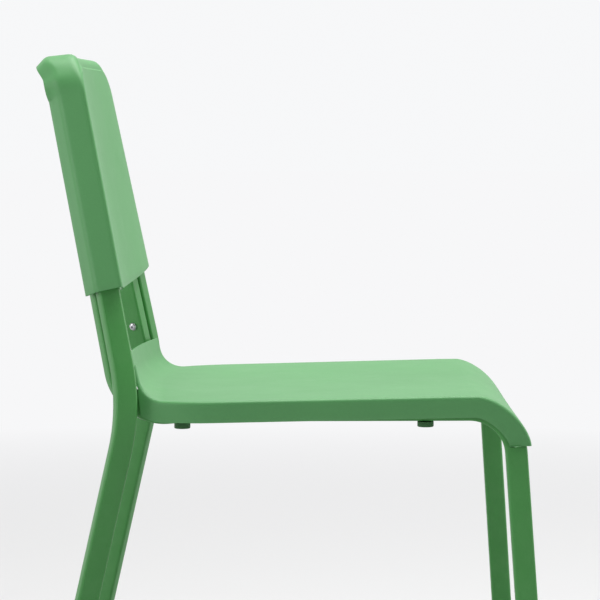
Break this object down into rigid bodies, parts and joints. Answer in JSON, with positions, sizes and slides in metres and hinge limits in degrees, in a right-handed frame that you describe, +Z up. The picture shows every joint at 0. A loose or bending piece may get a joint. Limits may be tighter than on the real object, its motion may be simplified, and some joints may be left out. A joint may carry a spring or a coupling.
{
  "type": "stacking chair",
  "caption": "Rigid stacking chair: paired bent steel tubes at each side carry a moulded seat with a waterfall front and a curved moulded backrest with a rolled top edge.",
  "frame": {"origin": "centre of the bounding box in plan, on the floor", "axes": "+Z up, the seat's front faces -Y, X runs from side to side"},
  "size_m": [0.4454, 0.5446, 0.7977],
  "materials": {
    "seat_plastic": "fine moulded texture, satin",
    "back_plastic": "fine moulded texture, satin",
    "buffer_plastic": "soft moulded",
    "plug_plastic": "moulded",
    "frame_steel": "powder coated",
    "zinc_steel": "zinc plated"
  },
  "bodies": {
    "root": {"backrest_shell": "back_plastic", "backrest_stiffener": "frame_steel", "front_crossbar": "frame_steel", "left_backrest_screw": "zinc_steel", "left_front_foot": "plug_plastic", "left_front_leg_tube": "frame_steel", "left_front_seat_screw": "zinc_steel", "left_front_stacking_buffer": "buffer_plastic", "left_inner_upright_plug": "plug_plastic", "left_outer_upright_plug": "plug_plastic", "left_rear_foot": "plug_plastic", "left_rear_leg_tube": "frame_steel", "left_rear_seat_screw": "zinc_steel", "left_rear_stacking_buffer": "buffer_plastic", "left_rivet_nut": "zinc_steel", "left_upright_screw": "zinc_steel", "rear_crossbar": "frame_steel", "right_backrest_screw": "zinc_steel", "right_front_foot": "plug_plastic", "right_front_leg_tube": "frame_steel", "right_front_seat_screw": "zinc_steel", "right_front_stacking_buffer": "buffer_plastic", "right_inner_upright_plug": "plug_plastic", "right_outer_upright_plug": "plug_plastic", "right_rear_foot": "plug_plastic", "right_rear_leg_tube": "frame_steel", "right_rear_seat_screw": "zinc_steel", "right_rear_stacking_buffer": "buffer_plastic", "right_rivet_nut": "zinc_steel", "right_upright_screw": "zinc_steel", "seat_shell": "seat_plastic"}
  },
  "joints": []
}
